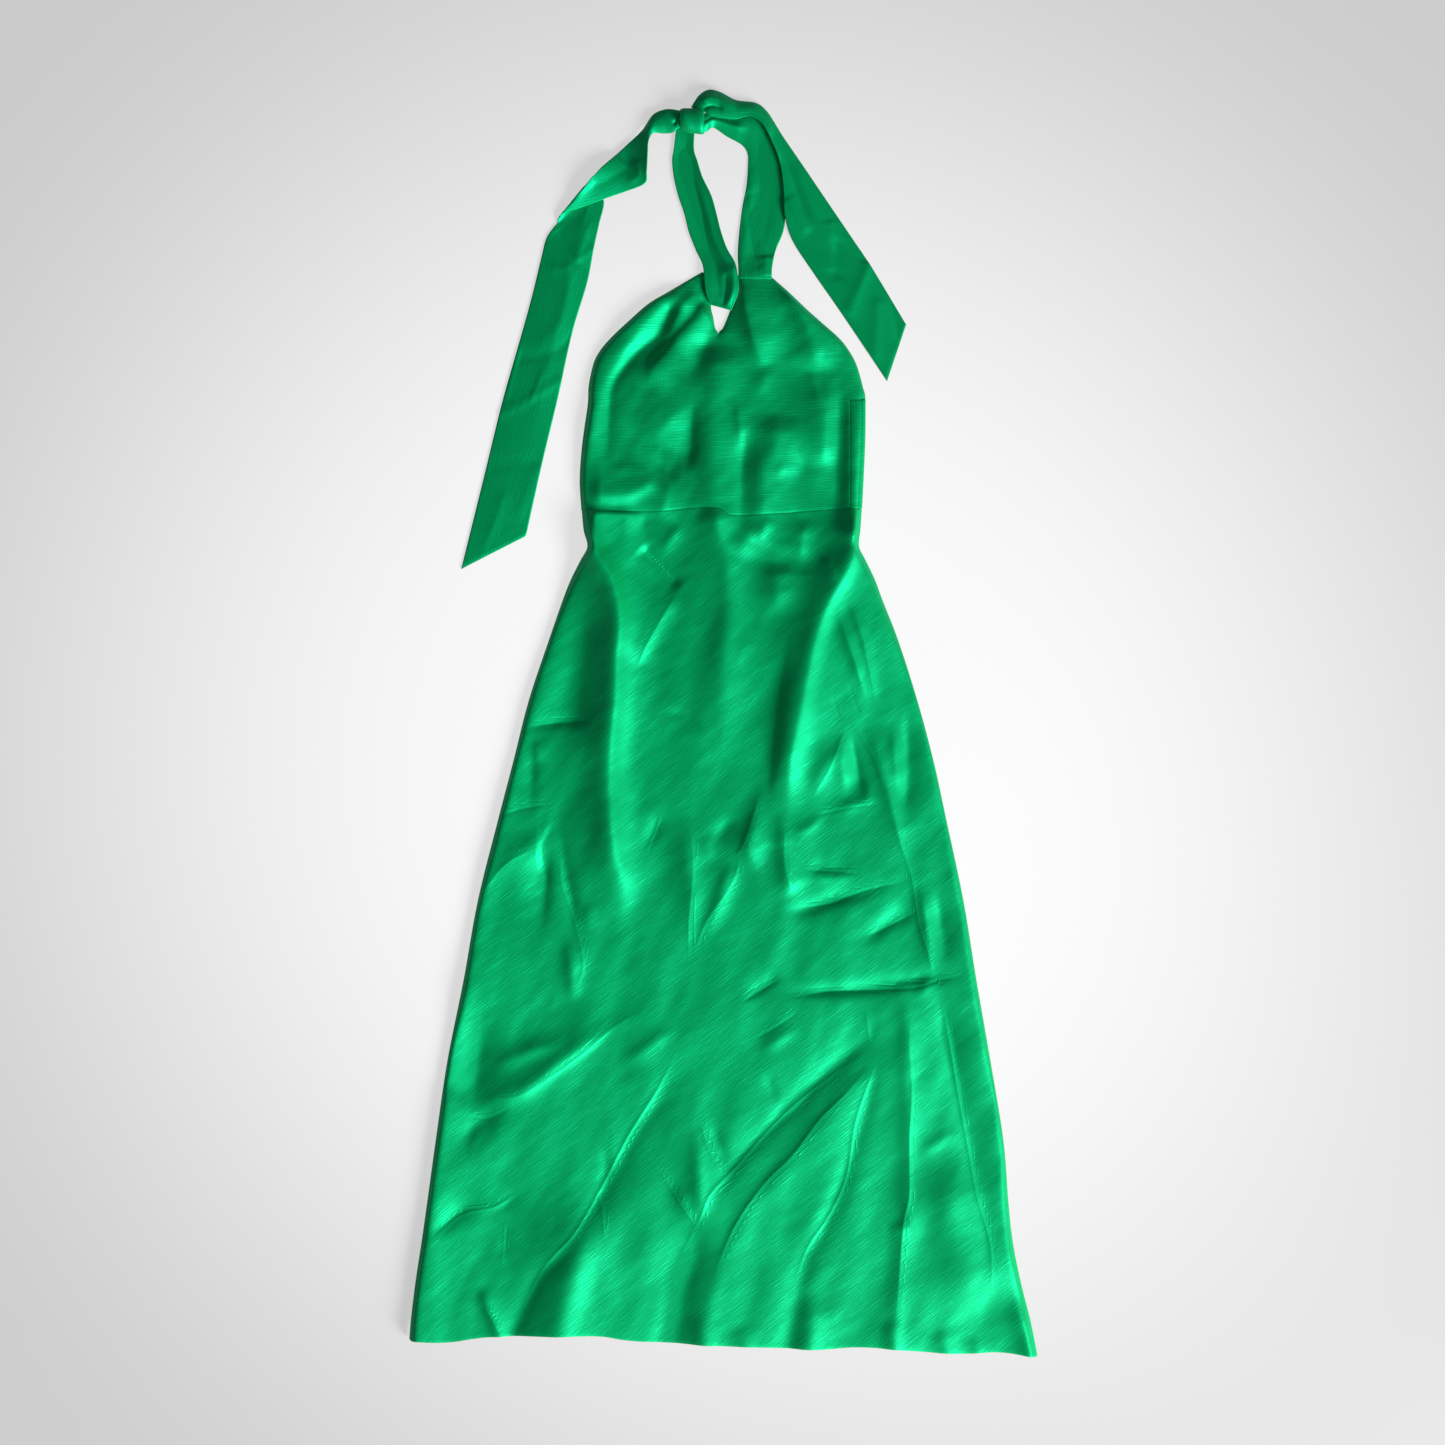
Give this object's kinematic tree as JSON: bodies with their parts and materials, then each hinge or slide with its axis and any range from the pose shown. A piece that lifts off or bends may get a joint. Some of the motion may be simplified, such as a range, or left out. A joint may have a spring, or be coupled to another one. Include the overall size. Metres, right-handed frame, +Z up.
{
  "type": "halter dress",
  "caption": "A-line halter dress laid flat, with a gathered keyhole bodice, low back, waist seam and neck straps tied in a half knot with loose ends.",
  "frame": {"origin": "on the surface that the dress lies on, under the middle of its outline", "axes": "+X to the right of the laid dress as seen from above, +Y towards its neck, +Z up from the surface"},
  "size_m": [0.721, 1.4539, 0.0192],
  "materials": {
    "front_cloth": "slubbed satin, soft sheen",
    "back_cloth": "slubbed satin, soft sheen",
    "strap_cloth": "slubbed satin sewn double"
  },
  "bodies": {
    "root": {"skirt_front": "front_cloth", "skirt_back": "back_cloth", "bodice_front": "front_cloth", "bodice_back": "back_cloth", "halter_strap_left": "strap_cloth", "halter_strap_right": "strap_cloth", "neck_knot": "strap_cloth", "tie_end_left": "strap_cloth", "tie_end_right": "strap_cloth"}
  },
  "joints": []
}
